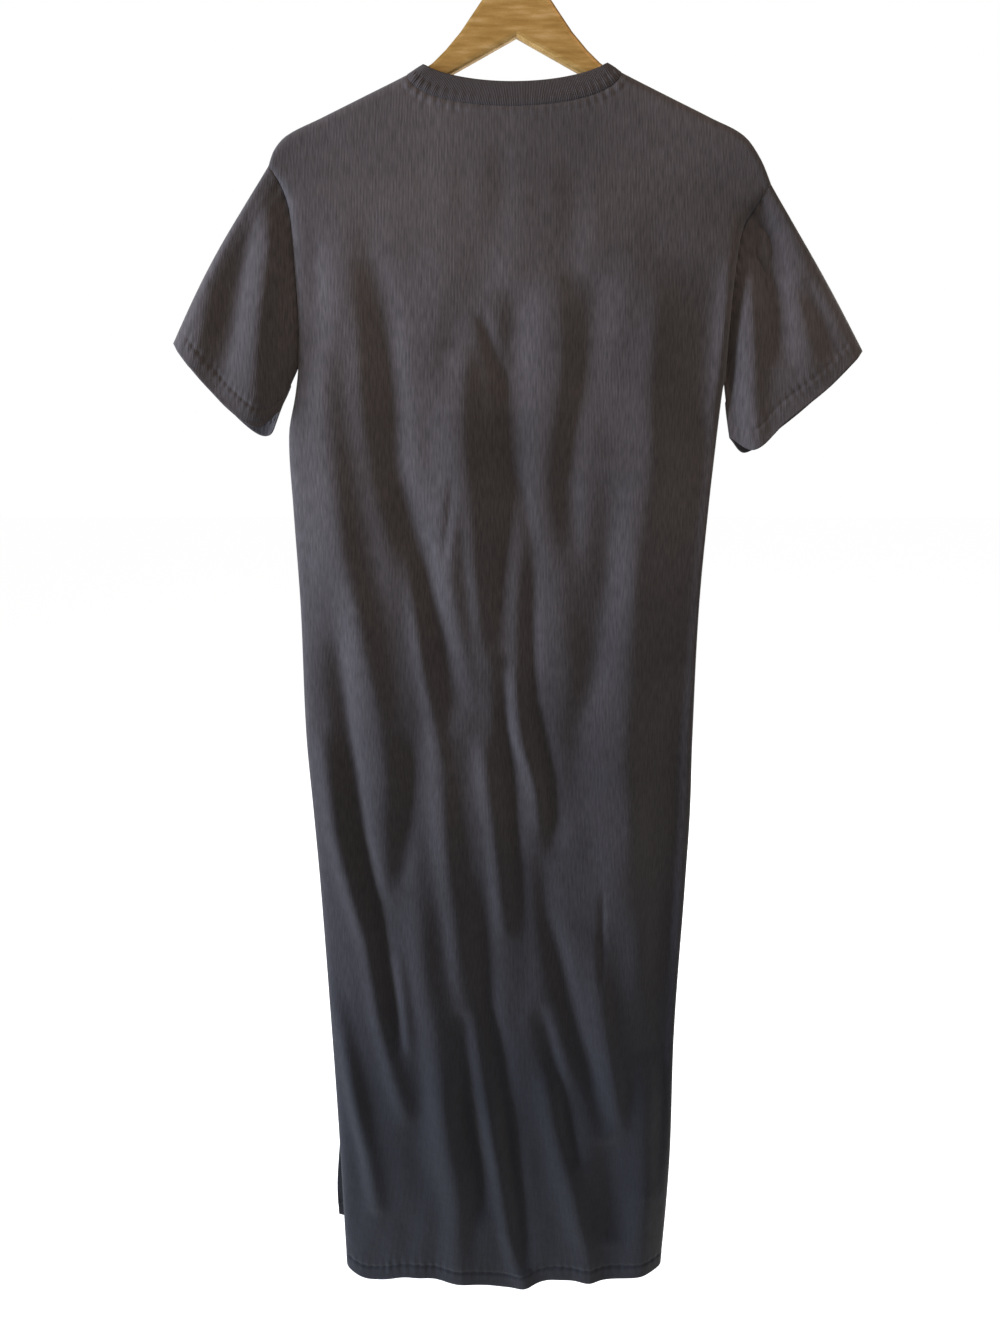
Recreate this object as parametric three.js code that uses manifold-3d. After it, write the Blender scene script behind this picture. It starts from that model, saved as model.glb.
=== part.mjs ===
// A jersey t-shirt dress on a flat wooden hanger, hung up with its back towards -Y.
//
// Millimetres, +Z up, +X to the right of somebody who looks at the dress's back along +Y.
// The origin is where the hook's wire rests on a rail, so the whole dress hangs below it.
// The cloth is a thin wall. Its back and front are height fields over (x, z), y = side * depth(x, z).
// They run over the hanger's arms at the top and meet at the side seams down to two slits.
import * as THREE from 'three';
import { mergeVertices } from 'three/addons/utils/BufferGeometryUtils.js';
import Module from 'manifold-3d';

const BACK = -1;
const FRONT = 1;

// ---------------------------------------------------------------- driving dimensions
const CLOTH = 1.2; // cotton jersey
const RIB = 1.6; // neckband, rib folded double
const HEM_TURN = 20; // turned up twice, so the wall is thicker there
const HEM = 2.2;
const SEAM_GAP = 0.3;
const RIDGE = 9; // half the cloth's width where it lies over a hanger arm
const RIDGE_STEPS = [0, 1, 3.5, 9]; // depths below the ridge where the bend is faceted
const SETTLE = 150; // depth below the shoulder where the cloth has its full depth
const SETTLE_AT_SIDE = 60; // the same at the armhole, past the hanger's tip
const ARMHOLE_OPEN = 4; // half the gap between back and front along the armhole
const CREASE_POWER = 4; // higher is a sharper crease down each side

// The band's two edges: their ends on the shoulder ridge, and how far they sag at the middle.
const NECK = {
  seam: { left: -99, right: 95, backSag: 28, backBend: 0.92, frontSag: 86 },
  free: { left: -85, right: 83, backSag: 16, backBend: 1.4, frontSag: 75 },
};
const SLIT = { top: -1250, bottom: -1446, back: 4, front: 6, frontOut: 10 };
const FRONT_HEM_RISE = 52; // the front is cut this much shorter

const HANGER = { thick: 11, edge: 4.5, headTop: -72, headHalf: 17, notch: -131 };
const HOOK = { wire: 4, eye: 36, stemFoot: -92, hole: 4.8, holeFoot: -94, end: 205 };

// ---------------------------------------------------------------- section tables
const rows = (columns, ...values) =>
  values.map((row) => Object.fromEntries(columns.split(' ').map((name, i) => [name, row[i]])));

// Ridge of each shoulder, from the neck out to the top of the armhole.
const SHOULDER = {
  left: rows('x z', [0, -100], [-60, -133], [-77, -148.6], [-90, -156.9], [-99, -162],
    [-140, -180.5], [-180, -198.5], [-212, -213], [-224, -225], [-230, -239]),
  right: rows('x z', [0, -100], [60, -133], [77, -148.6], [90, -156.9], [95, -160],
    [140, -180.5], [180, -198.5], [211, -213.5], [227, -233], [238, -255]),
};
// Armhole seam, from the shoulder down to the underarm.
const ARMHOLE = {
  left: rows('z x', [-239, -230], [-256, -219], [-280, -212], [-330, -209], [-380, -208], [-415, -210]),
  right: rows('z x', [-255, 238], [-272, 226], [-292, 214], [-330, 208], [-380, 205], [-430, 204]),
};
// Body from the underarm to the hem: its two sides, and how far back and front stand off y = 0.
const BODY = rows('z left right back front',
  [-160, -99, 95, 9, 9],
  [-240, -215, 215, 11, 10],
  [-300, -210, 212, 14, 12],
  [-415, -210, 204, 17, 16],
  [-445, -214, 201, 18, 17],
  [-483, -222, 198, 19, 18],
  [-556, -221, 193, 21, 20],
  [-657, -218, 188, 23, 22],
  [-790, -218, 187, 25, 24],
  [-874, -214, 188, 26, 25],
  [-960, -210, 186, 27, 26],
  [-1143, -204, 181, 28, 27],
  [-1300, -200, 182, 28, 27],
  [-1450, -197, 176, 27, 26]);
// Lower edge of the back, from side to side.
const BACK_HEM = rows('x z', [-197, -1446], [-168, -1455], [-120, -1449], [-60, -1455], [5, -1462],
  [45, -1452], [100, -1453], [176, -1444]);
// Largest folds of each panel: a crest through three points, its width and its height.
const FOLDS = {
  [BACK]: rows('z1 x1 z2 x2 z3 x3 wide high',
    [-250, -172, -600, -165, -980, -130, 24, 5],
    [-620, -196, -950, -170, -1250, -120, 20, 5],
    [-330, -70, -620, -88, -800, -70, 26, 4],
    [-380, -42, -560, -42, -740, -28, 16, 4],
    [-760, -66, -1050, -66, -1440, -55, 22, 5],
    [-380, 28, -640, 38, -900, 55, 26, 4],
    [-960, 66, -1150, 84, -1440, 120, 26, 4],
    [-360, 104, -800, 106, -1330, 142, 30, 5],
    [-1060, -24, -1250, -14, -1440, 4, 18, 4],
    [-1060, 14, -1250, 52, -1440, 84, 18, 4]),
  [FRONT]: rows('z1 x1 z2 x2 z3 x3 wide high',
    [-300, -150, -700, -160, -1380, -130, 30, 5],
    [-360, -80, -800, -70, -1390, -84, 26, 5],
    [-420, -10, -850, 8, -1390, -20, 26, 4],
    [-340, 70, -800, 62, -1390, 44, 24, 5],
    [-300, 140, -760, 132, -1390, 110, 30, 5]),
};
// Cuffs from the top fold (share 0) to the underarm (share 1), as the near and far layers lie.
const CUFF = {
  left: rows('share x z y farX farZ farY',
    [0, -328, -398, 0, -328, -398, 0],
    [0.06, -321, -408, -8, -321, -410, 8],
    [0.3, -299, -436, -12, -297, -442, 12],
    [0.6, -268, -466, -14, -263, -477, 12],
    [0.82, -249, -476, -10, -244, -483, 11],
    [1, -231, -461, 0, -231, -461, 0]),
  right: rows('share x z y farX farZ farY',
    [0, 333, -405, 0, 333, -405, 0],
    [0.06, 325, -414, -8, 325, -416, 8],
    [0.3, 298, -441, -12, 296, -448, 12],
    [0.6, 262, -470, -14, 262, -477, 12],
    [0.84, 232, -497, -11, 230, -500, 11],
    [1, 211, -486, 0, 211, -486, 0]),
};
// How the sleeve's upper fold line bows out from a straight line between shoulder and cuff.
const SLEEVE_BOW = { left: -6, right: 3 };
const SLEEVE_SWELL = 5;

// ---------------------------------------------------------------- curves
const lerp = THREE.MathUtils.lerp;
const clamp = THREE.MathUtils.clamp;
const smoothstep = THREE.MathUtils.smoothstep;

// One column of a table at a level of another, on a smooth curve through its rows.
function at(table, level, column, by) {
  const rising = table[table.length - 1][by] > table[0][by];
  const t = rising ? table : [...table].reverse();
  const x = clamp(level, t[0][by], t[t.length - 1][by]);
  let k = 0;
  while (k < t.length - 2 && t[k + 1][by] < x) k++;
  const slope = (i) => {
    const a = t[Math.max(i - 1, 0)];
    const b = t[Math.min(i + 1, t.length - 1)];
    return (b[column] - a[column]) / (b[by] - a[by]);
  };
  const span = t[k + 1][by] - t[k][by];
  const f = (x - t[k][by]) / span;
  const [p, q] = [t[k][column], t[k + 1][column]];
  const rise = f * f * (3 - 2 * f);
  return p + (q - p) * rise
    + span * f * (1 - f) * ((1 - f) * slope(k) - f * slope(k + 1));
}

const ridgeZ = (x) => at(SHOULDER[x < 0 ? 'left' : 'right'], x, 'z', 'x');
const hemZ = (side, x) => at(BACK_HEM, x, 'z', 'x') + (side === FRONT ? FRONT_HEM_RISE : 0);
const last = (list) => list[list.length - 1];

// Where the cloth ends sideways at a height: the shoulder ridge, then the armhole, then the side seam.
function edgeX(hand, z) {
  const shoulder = SHOULDER[hand];
  if (z > last(shoulder).z) return at(shoulder, z, 'x', 'z');
  if (z > last(ARMHOLE[hand]).z) return at(ARMHOLE[hand], z, 'x', 'z');
  return at(BODY, z, hand, 'z');
}

// Below the slits' tops the front's edge lies further out on the left, and further in on the right.
function sideX(side, hand, z) {
  const spread = side === FRONT ? smoothstep(SLIT.top - z, 0, 120) : 0;
  return edgeX(hand, z) - spread * (hand === 'left' ? SLIT.frontOut : SLIT.frontOut / 2);
}

// Height of one fold at a point: a soft crest that fades in and out along its length.
function fold(f, x, z) {
  const along = (f.z1 - z) / (f.z1 - f.z3);
  if (along <= 0 || along >= 1) return 0;
  const crest = z > f.z2
    ? lerp(f.x1, f.x2, (f.z1 - z) / (f.z1 - f.z2))
    : lerp(f.x2, f.x3, (f.z2 - z) / (f.z2 - f.z3));
  return f.high * Math.sin(Math.PI * along) ** 0.6 * Math.exp(-(((x - crest) / f.wide) ** 2));
}

// Distance of the cloth's outer face from y = 0 at a point of the back or front.
function depth(side, x, z) {
  const below = Math.max(ridgeZ(x) - z, 0);
  const [left, right] = [edgeX('left', z), edgeX('right', z)];
  const across = clamp((2 * x - left - right) / (right - left), -1, 1);
  const overArm = RIDGE * Math.sqrt(1 - (1 - Math.min(below / RIDGE, 1)) ** 2);
  const profile = Math.max(1 - Math.abs(across) ** CREASE_POWER - 1e-6, 0) ** (1 / CREASE_POWER);
  const settled = smoothstep(below, RIDGE, lerp(SETTLE, SETTLE_AT_SIDE, across ** 6));
  const full = at(BODY, z, side === BACK ? 'back' : 'front', 'z') * profile;
  const share = (across + 1) / 2;
  const armTop = lerp(ARMHOLE.left[0].z, ARMHOLE.right[0].z, share);
  const armFoot = lerp(last(ARMHOLE.left).z, last(ARMHOLE.right).z, share);
  const down = clamp((armTop - z) / (armTop - armFoot), 0, 1);
  const slit = (side === BACK ? SLIT.back : SLIT.front) * smoothstep(SLIT.top - z, 0, SLIT.top - SLIT.bottom);
  const folds = FOLDS[side].reduce((sum, f) => sum + fold(f, x, z), 0) * profile;
  return overArm + (full - RIDGE) * settled + ARMHOLE_OPEN * Math.sin(Math.PI * down) + slit + folds;
}

// A point of one edge of the neckband, at a turn from 0 at the left shoulder to 1 at the right.
function neckPoint(side, turn, edge) {
  const { left, right, backSag, backBend, frontSag } = NECK[edge];
  const sine = Math.sin(Math.PI * turn);
  const share = (1 - Math.cos(Math.PI * turn)) / 2;
  const sag = side === BACK ? backSag * sine ** backBend : frontSag * sine;
  return { x: lerp(left, right, share), z: lerp(ridgeZ(left), ridgeZ(right), share) - sag };
}

// ---------------------------------------------------------------- grids of points on the outer face
const SHOULDER_COLUMNS = 6;
const EVEN_NECK_COLUMNS = 4; // on each half, past the faceted bend over the arm
const UPPER_ROWS = 7;
const SEAM_ROWS = 12; // from the underarm to the slits' tops
const SLIT_ROWS = 3;
const SLEEVE_ROWS = 7;
const BAND_ROWS = 2;
const NECK_SHARE = 0.12; // share of the chest that the shoulder's columns hang down to
const COLUMN_BEND = 0.6; // under 1, a column leaves the neckline sideways before it hangs down

const point = (x, y, z) => ({ at: new THREE.Vector3(x, y, z), thick: CLOTH });

// Turns along a neckline whose first points are the facets of the bend over the hanger's arm.
function neckTurns(side) {
  const { backSag, backBend, frontSag } = NECK.seam;
  const [sag, bend] = side === BACK ? [backSag, backBend] : [frontSag, 1];
  const bent = RIDGE_STEPS.map((down) => Math.asin((down / sag) ** (1 / bend)) / Math.PI);
  const half = [...bent];
  for (let k = 1; k <= EVEN_NECK_COLUMNS; k++) half.push(lerp(last(bent), 0.5, k / EVEN_NECK_COLUMNS));
  return [...half, ...half.slice(0, -1).reverse().map((turn) => 1 - turn)];
}

// Top ends of the columns with the share of the chest that each one hangs down to.
function columnTops(side) {
  const shoulder = (hand, k) => {
    const out = 1 - k / SHOULDER_COLUMNS;
    const tip = last(SHOULDER[hand]);
    const neck = neckPoint(side, hand === 'left' ? 0 : 1, 'seam');
    const x = lerp(tip.x, neck.x, (1 - out) ** 1.8);
    return { x, z: k === 0 ? tip.z : ridgeZ(x), chest: NECK_SHARE * (1 - out) ** 1.6 };
  };
  const count = [...Array(SHOULDER_COLUMNS).keys()];
  const turns = neckTurns(side);
  const neck = turns.map((turn, k) => {
    const across = (1 - Math.cos(Math.PI * turn)) / 2;
    const even = k / (turns.length - 1);
    const chest = lerp(NECK_SHARE, 1 - NECK_SHARE, (across + even) / 2);
    return { ...neckPoint(side, turn, 'seam'), chest };
  });
  const right = count.map((k) => shoulder('right', k)).map((c) => ({ ...c, chest: 1 - c.chest })).reverse();
  return [...count.map((k) => shoulder('left', k)), ...neck, ...right];
}

// A point between the shoulder line and the chest, blended from all four edges of that area.
function upperPoint(side, top, down) {
  const u = top.chest;
  const [under, across] = [last(ARMHOLE.left), last(ARMHOLE.right)];
  const [first, second] = [ARMHOLE.left[0], ARMHOLE.right[0]];
  const leftZ = lerp(first.z, under.z, down);
  const rightZ = lerp(second.z, across.z, down);
  const fan = down ** COLUMN_BEND;
  const straightLeft = lerp(first.x, under.x, fan);
  const straightRight = lerp(second.x, across.x, fan);
  const bowLeft = at(ARMHOLE.left, leftZ, 'x', 'z') - straightLeft;
  const bowRight = at(ARMHOLE.right, rightZ, 'x', 'z') - straightRight;
  const x = lerp(top.x, lerp(under.x, across.x, u), fan) + (1 - u) ** 9 * bowLeft + u ** 9 * bowRight;
  const sideways = Math.min(ridgeZ(x) - ridgeZ(top.x), 0) * (1 - down) ** 3;
  const z = lerp(top.z, lerp(under.z, across.z, u), down) + sideways;
  return point(x, side * depth(side, x, z), z);
}

function lowerPoint(side, u, z) {
  const x = lerp(sideX(side, 'left', z), sideX(side, 'right', z), u);
  return point(x, side * depth(side, x, z), z);
}

// Heights of one column below the underarm: even down to the slits' tops, then even to the hem.
function lowerLevels(side, u) {
  const underarm = lerp(last(ARMHOLE.left).z, last(ARMHOLE.right).z, u);
  const hem = hemZ(side, lerp(edgeX('left', SLIT.bottom), edgeX('right', SLIT.bottom), u));
  const levels = [];
  for (let j = 1; j <= SEAM_ROWS; j++) levels.push(lerp(underarm, SLIT.top, j / SEAM_ROWS));
  for (let j = 1; j <= SLIT_ROWS; j++) levels.push(lerp(SLIT.top, hem + HEM_TURN, j / SLIT_ROWS));
  return [...levels, hem + HEM_TURN - 1, hem];
}

function panelGrid(side) {
  const tops = columnTops(side);
  const grid = [];
  for (let j = 0; j <= RIDGE_STEPS.length - 1 + UPPER_ROWS; j++) {
    grid.push(tops.map((top) => {
      const length = top.z - last(ARMHOLE.left).z;
      const bent = j < RIDGE_STEPS.length ? RIDGE_STEPS[j] : RIDGE;
      const rest = clamp((j - RIDGE_STEPS.length + 1) / UPPER_ROWS, 0, 1);
      return upperPoint(side, top, lerp(bent / length, 1, rest ** 1.2));
    }));
  }
  const levels = tops.map((top) => lowerLevels(side, top.chest));
  for (let j = 0; j < levels[0].length; j++) {
    const line = tops.map((top, i) => lowerPoint(side, top.chest, levels[i][j]));
    if (j >= SEAM_ROWS + SLIT_ROWS) line.forEach((p) => (p.thick = HEM));
    grid.push(line);
  }
  return grid;
}

// The near half of each ring starts at the back's armhole edge and the far half at the front's.
function sleeveGrid(hand, back, front) {
  const column = hand === 'left' ? 0 : back[0].length - 1;
  const count = RIDGE_STEPS.length + UPPER_ROWS;
  const seam = (panel) => panel.slice(0, count).map((row) => row[column].at);
  const [near, far] = [seam(back), seam(front)];
  const total = near[0].distanceTo(last(near));
  const share = (p) => p.distanceTo(near[0]) / total;
  const cuff = (p, keys) => {
    const [x, z, y] = keys.map((key) => at(CUFF[hand], share(p), key, 'share'));
    return new THREE.Vector3(x, y, z);
  };
  const ring = [
    ...near.map((p) => [p, cuff(p, ['x', 'z', 'y']), share(p), BACK]),
    ...far.slice(1, -1).reverse().map((p) => [p, cuff(p, ['farX', 'farZ', 'farY']), share(p), FRONT]),
  ];
  const length = near[0].distanceTo(cuff(near[0], ['x', 'z', 'y']));
  const turned = 1 - HEM_TURN / length;
  const steps = [...Array(SLEEVE_ROWS + 1).keys()].map((k) => (turned * k) / SLEEVE_ROWS);
  return [...steps, turned + 1 / length, 1].map((out) => ring.map(([from, to, m, side]) => {
    const swell = SLEEVE_SWELL * Math.sin(Math.PI * out) * Math.sin(Math.PI * m) ** 0.7;
    const bow = SLEEVE_BOW[hand] * Math.sin(Math.PI * out) * (1 - m) ** 2;
    const p = from.clone().lerp(to, out);
    const made = point(p.x + bow, p.y + side * swell, p.z);
    made.thick = out > turned ? HEM : CLOTH;
    return made;
  }));
}

// The band's lower row is the neck seam, so it shares its points with both panels.
function bandGrid() {
  const turns = [
    ...neckTurns(BACK).map((turn) => [BACK, turn]),
    ...neckTurns(FRONT).slice(1, -1).reverse().map((turn) => [FRONT, turn]),
  ];
  const grid = [];
  for (let j = 0; j <= BAND_ROWS; j++) {
    grid.push(turns.map(([side, turn]) => {
      const [seam, free] = [neckPoint(side, turn, 'seam'), neckPoint(side, turn, 'free')];
      const x = lerp(seam.x, free.x, j / BAND_ROWS);
      const z = lerp(seam.z, free.z, j / BAND_ROWS);
      const made = point(x, side * depth(side, x, z), z);
      made.thick = RIB;
      return made;
    }));
  }
  return grid;
}

// ---------------------------------------------------------------- closed walls
function setNormals(grid, ring, outward, reference) {
  const wide = grid[0].length;
  const column = (i) => (ring ? (i + wide) % wide : clamp(i, 0, wide - 1));
  grid.forEach((line, j) => line.forEach((p, i) => {
    const along = line[column(i + 1)].at.clone().sub(line[column(i - 1)].at);
    const down = grid[Math.min(j + 1, grid.length - 1)][i].at.clone().sub(grid[Math.max(j - 1, 0)][i].at);
    p.normal = along.cross(down).normalize();
  }));
  const middle = grid[reference.row][reference.column].normal;
  if (middle.dot(outward) < 0) grid.forEach((line) => line.forEach((p) => p.normal.negate()));
}

// Points that two or more pieces share get one normal, so that their walls end face to face.
// Back and front meet at y = 0, and their walls end square to it.
function shareNormals(grids) {
  const shared = new Map();
  for (const p of grids.flat(2)) {
    const key = p.at.toArray().map((v) => Math.round(v * 100)).join();
    shared.set(key, [...(shared.get(key) ?? []), p]);
  }
  for (const group of shared.values()) {
    const sum = group.reduce((n, p) => n.add(p.normal), new THREE.Vector3());
    if (Math.abs(group[0].at.y) < 0.01) sum.y = 0;
    sum.normalize();
    group.forEach((p) => p.normal.copy(sum));
  }
}

// Moves an edge back from its seam by half the gap, square to the seam and within the cloth.
function openSeam(edge, next, ring) {
  const count = edge.length;
  const neighbour = (k) => edge[ring ? (k + count) % count : clamp(k, 0, count - 1)].at;
  const moves = edge.map((p, k) => {
    const along = neighbour(k + 1).clone().sub(neighbour(k - 1)).normalize();
    const square = along.cross(p.normal);
    const inward = Math.sign(square.dot(next[k].at.clone().sub(p.at)));
    return square.setLength((inward * SEAM_GAP) / 2);
  });
  edge.forEach((p, k) => p.at.add(moves[k]));
}

function wall(grid, ring) {
  const [high, wide] = [grid.length, grid[0].length];
  const layer = high * wide;
  const flat = grid.flat();
  const inner = flat.map((p) => p.at.clone().addScaledVector(p.normal, -p.thick));
  const corner = (j, i, inside) => inside * layer + j * wide + (i % wide);
  const triangles = [];
  const quad = (a, b, c, d) => triangles.push(a, b, c, a, c, d);
  const columns = ring ? wide : wide - 1;
  for (let j = 0; j < high - 1; j++) {
    for (let i = 0; i < columns; i++) {
      quad(corner(j, i, 0), corner(j, i + 1, 0), corner(j + 1, i + 1, 0), corner(j + 1, i, 0));
      quad(corner(j, i, 1), corner(j + 1, i, 1), corner(j + 1, i + 1, 1), corner(j, i + 1, 1));
    }
    if (ring) continue;
    quad(corner(j, 0, 0), corner(j + 1, 0, 0), corner(j + 1, 0, 1), corner(j, 0, 1));
    quad(corner(j, wide - 1, 0), corner(j, wide - 1, 1), corner(j + 1, wide - 1, 1), corner(j + 1, wide - 1, 0));
  }
  for (let i = 0; i < columns; i++) {
    quad(corner(0, i, 0), corner(0, i, 1), corner(0, i + 1, 1), corner(0, i + 1, 0));
    quad(corner(high - 1, i, 0), corner(high - 1, i + 1, 0), corner(high - 1, i + 1, 1), corner(high - 1, i, 1));
  }
  const all = [...flat.map((p) => p.at), ...inner];
  const volume = () => triangles.reduce((sum, _, k) => (k % 3 ? sum
    : sum + all[triangles[k]].dot(all[triangles[k + 1]].clone().cross(all[triangles[k + 2]]))), 0);
  if (volume() < 0) triangles.reverse();
  const geometry = new THREE.BufferGeometry().setFromPoints(all);
  geometry.setIndex(triangles);
  geometry.computeVertexNormals();
  return geometry;
}

// ---------------------------------------------------------------- hanger and hook
function hangerOutline() {
  const upper = [[HANGER.headHalf, -80], [22, -90], [31, -99.5], [51, -126], [65, -141], [77, -151.6],
    [90, -159.9], [100, -165.3], [150, -187.8], [199, -209.9]];
  const tip = [[205, -213.5], [207, -219], [204, -225]];
  const lower = [[150, -205.5], [120, -192.5], [57, -160]];
  const half = [...upper, ...tip, ...lower];
  const shape = new THREE.Shape();
  shape.moveTo(0, HANGER.notch);
  for (const [x, z] of [...half].reverse()) shape.lineTo(x, z);
  shape.quadraticCurveTo(HANGER.headHalf, HANGER.headTop, 0, HANGER.headTop);
  shape.quadraticCurveTo(-HANGER.headHalf, HANGER.headTop, -half[0][0], half[0][1]);
  for (const [x, z] of half.slice(1)) shape.lineTo(-x, z);
  shape.closePath();
  return shape;
}

function hangerBow(wasm) {
  const bow = new THREE.ExtrudeGeometry(hangerOutline(), {
    depth: HANGER.thick - 2 * HANGER.edge,
    bevelThickness: HANGER.edge,
    bevelSize: HANGER.edge,
    bevelOffset: -HANGER.edge,
    bevelSegments: 3,
    curveSegments: 6,
  });
  bow.rotateX(Math.PI / 2).translate(0, HANGER.thick / 2 - HANGER.edge, 0);
  const deep = 40;
  const hole = new THREE.CylinderGeometry(HOOK.hole / 2, HOOK.hole / 2, deep, 12).rotateX(Math.PI / 2);
  hole.translate(0, 0, HOOK.holeFoot + deep / 2);
  return cut(wasm, bow, hole);
}

function solid(wasm, geometry) {
  const bare = geometry.clone();
  bare.deleteAttribute('normal').deleteAttribute('uv');
  const merged = mergeVertices(bare, 1e-3);
  return new wasm.Manifold(new wasm.Mesh({
    numProp: 3,
    vertProperties: merged.attributes.position.array,
    triVerts: new Uint32Array(merged.index.array),
  }));
}

function cut(wasm, body, tool) {
  const mesh = solid(wasm, body).subtract(solid(wasm, tool)).getMesh();
  const geometry = new THREE.BufferGeometry();
  geometry.setAttribute('position', new THREE.BufferAttribute(mesh.vertProperties, 3));
  geometry.setIndex([...mesh.triVerts]);
  geometry.computeVertexNormals();
  return geometry;
}

// A stem that turns into a round eye, open on its left, with its inner top at the origin.
function hookWire() {
  const radius = (HOOK.eye + HOOK.wire) / 2;
  const centre = -HOOK.eye / 2;
  const points = [new THREE.Vector3(0, 0, HOOK.stemFoot), new THREE.Vector3(0, 0, -60)];
  points.push(new THREE.Vector3(0.5, 0, -46));
  for (let angle = -75; angle <= HOOK.end; angle += 20) {
    const a = THREE.MathUtils.degToRad(angle);
    points.push(new THREE.Vector3(radius * Math.cos(a), 0, centre + radius * Math.sin(a)));
  }
  const section = new THREE.Shape().absarc(0, 0, HOOK.wire / 2, 0, 2 * Math.PI);
  return new THREE.ExtrudeGeometry(section, {
    extrudePath: new THREE.CatmullRomCurve3(points),
    steps: 36,
    curveSegments: 5,
  });
}

// ---------------------------------------------------------------- the whole part
const wasm = await Module();
wasm.setup();

const jersey = new THREE.MeshStandardMaterial({ color: 0x3b3a40, roughness: 0.9, metalness: 0 });
const rib = new THREE.MeshStandardMaterial({ color: 0x37363b, roughness: 0.9, metalness: 0 });
const wood = new THREE.MeshStandardMaterial({ color: 0xb4914f, roughness: 0.5, metalness: 0 });
const steel = new THREE.MeshStandardMaterial({ color: 0xc9c9c9, roughness: 0.25, metalness: 1 });

const back = panelGrid(BACK);
const front = panelGrid(FRONT);
const leftSleeve = sleeveGrid('left', back, front);
const rightSleeve = sleeveGrid('right', back, front);
const band = bandGrid();

const wide = back[0].length;
const middle = { row: 16, column: Math.floor(wide / 2) };
const towards = (side) => new THREE.Vector3(0, side, 0);
setNormals(back, false, towards(BACK), middle);
setNormals(front, false, towards(FRONT), middle);
setNormals(leftSleeve, true, towards(BACK), { row: 4, column: 5 });
setNormals(rightSleeve, true, towards(BACK), { row: 4, column: 5 });
setNormals(band, true, towards(BACK), { row: 1, column: RIDGE_STEPS.length + EVEN_NECK_COLUMNS - 1 });
shareNormals([back, front, leftSleeve, rightSleeve, band]);

for (const panel of [back, front]) {
  openSeam(panel[0], panel[1]);
  openSeam(panel.map((line) => line[0]), panel.map((line) => line[1]));
  openSeam(panel.map((line) => last(line)), panel.map((line) => line[wide - 2]));
}
for (const piece of [leftSleeve, rightSleeve, band]) openSeam(piece[0], piece[1], true);

const dress = new THREE.Group();
const add = (name, geometry, material) => {
  const mesh = new THREE.Mesh(geometry, material);
  mesh.name = name;
  dress.add(mesh);
};
add('back_panel', wall(back, false), jersey);
add('front_panel', wall(front, false), jersey);
add('left_sleeve', wall(leftSleeve, true), jersey);
add('right_sleeve', wall(rightSleeve, true), jersey);
add('neckband', wall(band, true), rib);
add('hanger_bow', hangerBow(wasm), wood);
add('hanger_hook', hookWire(), steel);

export default dress;
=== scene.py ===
"""A jersey t-shirt dress hung on a gold-painted wooden hanger, seen from its back.

The cloth's form is worked out in millimetres, on the same outline as the CAD model, and every mesh is
made in metres. Back and front are height fields over (x, z) whose folds are ridges and troughs laid
along lines down the cloth. Each piece is a thin shell.
"""
import math

import bpy
import numpy as np
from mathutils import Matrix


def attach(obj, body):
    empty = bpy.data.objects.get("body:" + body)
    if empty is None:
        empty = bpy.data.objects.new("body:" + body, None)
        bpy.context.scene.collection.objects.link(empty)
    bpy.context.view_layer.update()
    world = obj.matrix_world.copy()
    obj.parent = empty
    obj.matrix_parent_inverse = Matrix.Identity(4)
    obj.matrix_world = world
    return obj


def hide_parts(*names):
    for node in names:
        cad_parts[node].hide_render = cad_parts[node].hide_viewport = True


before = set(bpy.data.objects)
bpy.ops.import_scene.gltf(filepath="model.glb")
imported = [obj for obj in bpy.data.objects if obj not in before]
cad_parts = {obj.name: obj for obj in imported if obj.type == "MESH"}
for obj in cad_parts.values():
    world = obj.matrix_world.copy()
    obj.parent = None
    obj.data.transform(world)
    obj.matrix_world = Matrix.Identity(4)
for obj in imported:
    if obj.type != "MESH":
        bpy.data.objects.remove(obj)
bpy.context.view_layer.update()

MM = 0.001
BACK, FRONT = -1, 1

# ---------------------------------------------------------------- the dress's form, in millimetres
CLOTH = 1.2
RIB = 1.6
RIDGE = 9.0  # half the cloth's width where it lies over a hanger arm
SETTLE, SETTLE_AT_SIDE = 150.0, 60.0  # depth below the shoulder where the cloth has its full depth
ARMHOLE_OPEN = 4.0
CREASE_POWER = 4.0
SLIT_TOP, SLIT_BOTTOM = -1250.0, -1446.0
SLIT_SPREAD = {BACK: 4.0, FRONT: 6.0}
FRONT_OUT = {"left": 10.0, "right": 5.0}  # how far the front's free corners stand out and in
FRONT_HEM_RISE = 52.0
NECK_SEAM = {"left": -99, "right": 95, "back_sag": 28, "back_bend": 0.92, "front_sag": 86}
NECK_EDGE = {"left": -85, "right": 83, "back_sag": 16, "back_bend": 1.4, "front_sag": 75}

# x, z of each shoulder's ridge, from the neck outwards
SHOULDER = {
    "left": [(0, -100), (-60, -133), (-77, -148.6), (-90, -156.9), (-99, -162), (-140, -180.5),
             (-180, -198.5), (-212, -213), (-224, -225), (-230, -239)],
    "right": [(0, -100), (60, -133), (77, -148.6), (90, -156.9), (95, -160), (140, -180.5),
              (180, -198.5), (211, -213.5), (227, -233), (238, -255)],
}
# z, x of each armhole seam
ARMHOLE = {
    "left": [(-239, -230), (-256, -219), (-280, -212), (-330, -209), (-380, -208), (-415, -210)],
    "right": [(-255, 238), (-272, 226), (-292, 214), (-330, 208), (-380, 205), (-430, 204)],
}
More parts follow.
